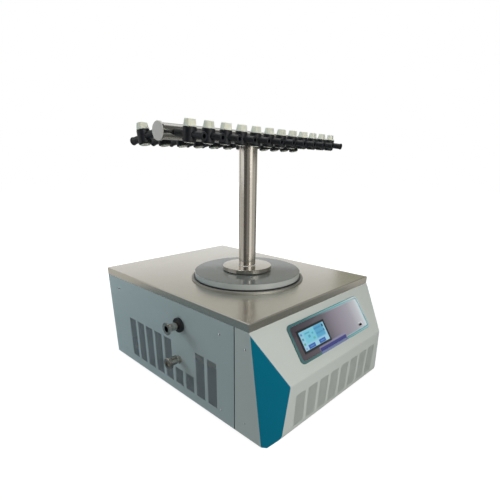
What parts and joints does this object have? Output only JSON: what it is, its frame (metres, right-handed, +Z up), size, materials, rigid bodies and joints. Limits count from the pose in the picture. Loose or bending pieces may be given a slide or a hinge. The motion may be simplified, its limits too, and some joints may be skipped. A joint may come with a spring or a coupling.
{
  "type": "benchtop freeze dryer",
  "caption": "Benchtop freeze dryer: low sheet-metal cabinet with a sloped control panel, a round lid and a tall riser carrying a horizontal manifold of stopcock valves.",
  "frame": {"origin": "on the surface it stands on, straight below the axis of the cold trap, lid and riser", "axes": "+X to the right seen from the control panel, +Y to the back, +Z up"},
  "size_m": [0.6186, 0.6884, 0.6674],
  "materials": {
    "side_paint": "satin",
    "cover_paint": "satin",
    "teal_paint": "satin",
    "teal_plastic": "satin",
    "brushed_stainless": "brushed",
    "polished_stainless": "polished",
    "screw_steel": "bright",
    "lid_grey": "gloss",
    "black_rubber": "soft gloss",
    "knob_plastic": "satin",
    "black_plastic": "satin",
    "fascia_film": "satin",
    "screen_glass": "gloss",
    "circuit_board": "satin",
    "galvanised_sheet": "zinc",
    "copper": "bare copper",
    "foam": "closed-cell foam",
    "black_enamel": "gloss",
    "fin_aluminium": "plain"
  },
  "bodies": {
    "cabinet": {"base_pan": "galvanised_sheet", "rubber_feet": "black_rubber", "left_side_panel": "side_paint", "right_side_panel": "side_paint", "rear_panel": "side_paint", "steel_top": "brushed_stainless", "front_cover": "cover_paint", "cheek_plates": "teal_paint", "panel_screws": "screw_steel", "control_panel_frame": "teal_plastic", "control_panel_fascia": "fascia_film", "display_bezel": "black_plastic", "touch_screen": "screen_glass", "control_board": "circuit_board", "usb_port": "screw_steel", "cold_trap": "polished_stainless", "evaporator_coil": "copper", "trap_insulation": "foam", "lid_gasket": "black_rubber", "lid_disc": "lid_grey", "flange_gasket": "black_rubber", "riser": "polished_stainless", "manifold_tube": "polished_stainless", "valve_bodies": "black_rubber", "vacuum_port": "polished_stainless", "port_grommet": "black_rubber", "drain_valve": "polished_stainless", "compressor": "black_enamel", "condenser_core": "fin_aluminium", "refrigerant_lines": "copper", "fan_frame": "black_plastic", "power_supply": "galvanised_sheet", "power_inlet": "black_plastic"},
    "front_valve_plug_01": {"front_valve_plug_01": "knob_plastic"},
    "front_valve_plug_02": {"front_valve_plug_02": "knob_plastic"},
    "front_valve_plug_03": {"front_valve_plug_03": "knob_plastic"},
    "front_valve_plug_04": {"front_valve_plug_04": "knob_plastic"},
    "front_valve_plug_05": {"front_valve_plug_05": "knob_plastic"},
    "front_valve_plug_06": {"front_valve_plug_06": "knob_plastic"},
    "front_valve_plug_07": {"front_valve_plug_07": "knob_plastic"},
    "front_valve_plug_08": {"front_valve_plug_08": "knob_plastic"},
    "front_valve_plug_09": {"front_valve_plug_09": "knob_plastic"},
    "front_valve_plug_10": {"front_valve_plug_10": "knob_plastic"},
    "front_valve_plug_11": {"front_valve_plug_11": "knob_plastic"},
    "front_valve_plug_12": {"front_valve_plug_12": "knob_plastic"},
    "rear_valve_plug_01": {"rear_valve_plug_01": "knob_plastic"},
    "rear_valve_plug_02": {"rear_valve_plug_02": "knob_plastic"},
    "rear_valve_plug_03": {"rear_valve_plug_03": "knob_plastic"},
    "rear_valve_plug_04": {"rear_valve_plug_04": "knob_plastic"},
    "rear_valve_plug_05": {"rear_valve_plug_05": "knob_plastic"},
    "rear_valve_plug_06": {"rear_valve_plug_06": "knob_plastic"},
    "rear_valve_plug_07": {"rear_valve_plug_07": "knob_plastic"},
    "rear_valve_plug_08": {"rear_valve_plug_08": "knob_plastic"},
    "rear_valve_plug_09": {"rear_valve_plug_09": "knob_plastic"},
    "rear_valve_plug_10": {"rear_valve_plug_10": "knob_plastic"},
    "rear_valve_plug_11": {"rear_valve_plug_11": "knob_plastic"},
    "rear_valve_plug_12": {"rear_valve_plug_12": "knob_plastic"},
    "fan_rotor": {"fan_rotor": "black_plastic"},
    "switch_rocker": {"switch_rocker": "black_plastic"},
    "drain_lever": {"drain_lever": "black_plastic"}
  },
  "joints": [
    {"name": "front_valve_plug_01_turn", "type": "hinge", "parent": "cabinet", "child": "front_valve_plug_01", "pos_m": [-0.23964, -0.07543, 0.63985], "axis": [0.0111, -0.1266, 0.9919], "continuous": true},
    {"name": "front_valve_plug_02_turn", "type": "hinge", "parent": "cabinet", "child": "front_valve_plug_02", "pos_m": [-0.18903, -0.071, 0.63985], "axis": [0.0111, -0.1266, 0.9919], "continuous": true},
    {"name": "front_valve_plug_03_turn", "type": "hinge", "parent": "cabinet", "child": "front_valve_plug_03", "pos_m": [-0.13842, -0.06657, 0.63985], "axis": [0.0111, -0.1266, 0.9919], "continuous": true},
    {"name": "front_valve_plug_04_turn", "type": "hinge", "parent": "cabinet", "child": "front_valve_plug_04", "pos_m": [-0.08782, -0.06215, 0.63985], "axis": [0.0111, -0.1266, 0.9919], "continuous": true},
    {"name": "front_valve_plug_05_turn", "type": "hinge", "parent": "cabinet", "child": "front_valve_plug_05", "pos_m": [-0.03721, -0.05772, 0.63985], "axis": [0.0111, -0.1266, 0.9919], "continuous": true},
    {"name": "front_valve_plug_06_turn", "type": "hinge", "parent": "cabinet", "child": "front_valve_plug_06", "pos_m": [0.0134, -0.05329, 0.63985], "axis": [0.0111, -0.1266, 0.9919], "continuous": true},
    {"name": "front_valve_plug_07_turn", "type": "hinge", "parent": "cabinet", "child": "front_valve_plug_07", "pos_m": [0.064, -0.04886, 0.63985], "axis": [0.0111, -0.1266, 0.9919], "continuous": true},
    {"name": "front_valve_plug_08_turn", "type": "hinge", "parent": "cabinet", "child": "front_valve_plug_08", "pos_m": [0.11461, -0.04444, 0.63985], "axis": [0.0111, -0.1266, 0.9919], "continuous": true},
    {"name": "front_valve_plug_09_turn", "type": "hinge", "parent": "cabinet", "child": "front_valve_plug_09", "pos_m": [0.16522, -0.04001, 0.63985], "axis": [0.0111, -0.1266, 0.9919], "continuous": true},
    {"name": "front_valve_plug_10_turn", "type": "hinge", "parent": "cabinet", "child": "front_valve_plug_10", "pos_m": [0.21582, -0.03558, 0.63985], "axis": [0.0111, -0.1266, 0.9919], "continuous": true},
    {"name": "front_valve_plug_11_turn", "type": "hinge", "parent": "cabinet", "child": "front_valve_plug_11", "pos_m": [0.26643, -0.03115, 0.63985], "axis": [0.0111, -0.1266, 0.9919], "continuous": true},
    {"name": "front_valve_plug_12_turn", "type": "hinge", "parent": "cabinet", "child": "front_valve_plug_12", "pos_m": [0.31704, -0.02673, 0.63985], "axis": [0.0111, -0.1266, 0.9919], "continuous": true},
    {"name": "rear_valve_plug_01_turn", "type": "hinge", "parent": "cabinet", "child": "rear_valve_plug_01", "pos_m": [-0.27437, 0.03018, 0.63796], "axis": [-0.0141, 0.161, 0.9869], "continuous": true},
    {"name": "rear_valve_plug_02_turn", "type": "hinge", "parent": "cabinet", "child": "rear_valve_plug_02", "pos_m": [-0.22377, 0.03461, 0.63796], "axis": [-0.0141, 0.161, 0.9869], "continuous": true},
    {"name": "rear_valve_plug_03_turn", "type": "hinge", "parent": "cabinet", "child": "rear_valve_plug_03", "pos_m": [-0.17316, 0.03904, 0.63796], "axis": [-0.0141, 0.161, 0.9869], "continuous": true},
    {"name": "rear_valve_plug_04_turn", "type": "hinge", "parent": "cabinet", "child": "rear_valve_plug_04", "pos_m": [-0.12255, 0.04347, 0.63796], "axis": [-0.0141, 0.161, 0.9869], "continuous": true},
    {"name": "rear_valve_plug_05_turn", "type": "hinge", "parent": "cabinet", "child": "rear_valve_plug_05", "pos_m": [-0.07195, 0.04789, 0.63796], "axis": [-0.0141, 0.161, 0.9869], "continuous": true},
    {"name": "rear_valve_plug_06_turn", "type": "hinge", "parent": "cabinet", "child": "rear_valve_plug_06", "pos_m": [-0.02134, 0.05232, 0.63796], "axis": [-0.0141, 0.161, 0.9869], "continuous": true},
    {"name": "rear_valve_plug_07_turn", "type": "hinge", "parent": "cabinet", "child": "rear_valve_plug_07", "pos_m": [0.02927, 0.05675, 0.63796], "axis": [-0.0141, 0.161, 0.9869], "continuous": true},
    {"name": "rear_valve_plug_08_turn", "type": "hinge", "parent": "cabinet", "child": "rear_valve_plug_08", "pos_m": [0.07987, 0.06118, 0.63796], "axis": [-0.0141, 0.161, 0.9869], "continuous": true},
    {"name": "rear_valve_plug_09_turn", "type": "hinge", "parent": "cabinet", "child": "rear_valve_plug_09", "pos_m": [0.13048, 0.0656, 0.63796], "axis": [-0.0141, 0.161, 0.9869], "continuous": true},
    {"name": "rear_valve_plug_10_turn", "type": "hinge", "parent": "cabinet", "child": "rear_valve_plug_10", "pos_m": [0.18109, 0.07003, 0.63796], "axis": [-0.0141, 0.161, 0.9869], "continuous": true},
    {"name": "rear_valve_plug_11_turn", "type": "hinge", "parent": "cabinet", "child": "rear_valve_plug_11", "pos_m": [0.23169, 0.07446, 0.63796], "axis": [-0.0141, 0.161, 0.9869], "continuous": true},
    {"name": "rear_valve_plug_12_turn", "type": "hinge", "parent": "cabinet", "child": "rear_valve_plug_12", "pos_m": [0.2823, 0.07889, 0.63796], "axis": [-0.0141, 0.161, 0.9869], "continuous": true},
    {"name": "fan_spin", "type": "hinge", "parent": "cabinet", "child": "fan_rotor", "pos_m": [-0.1765, 0.14, 0.094], "axis": [1, 0, 0], "continuous": true},
    {"name": "power_switch", "type": "hinge", "parent": "cabinet", "child": "switch_rocker", "pos_m": [0.1805, 0.3675, 0.074], "axis": [1, 0, 0], "range_deg": [-12, 0]},
    {"name": "drain_turn", "type": "hinge", "parent": "cabinet", "child": "drain_lever", "pos_m": [-0.2575, 0.0095, 0.126], "axis": [0, 0, 1], "range_deg": [0, 90]}
  ]
}
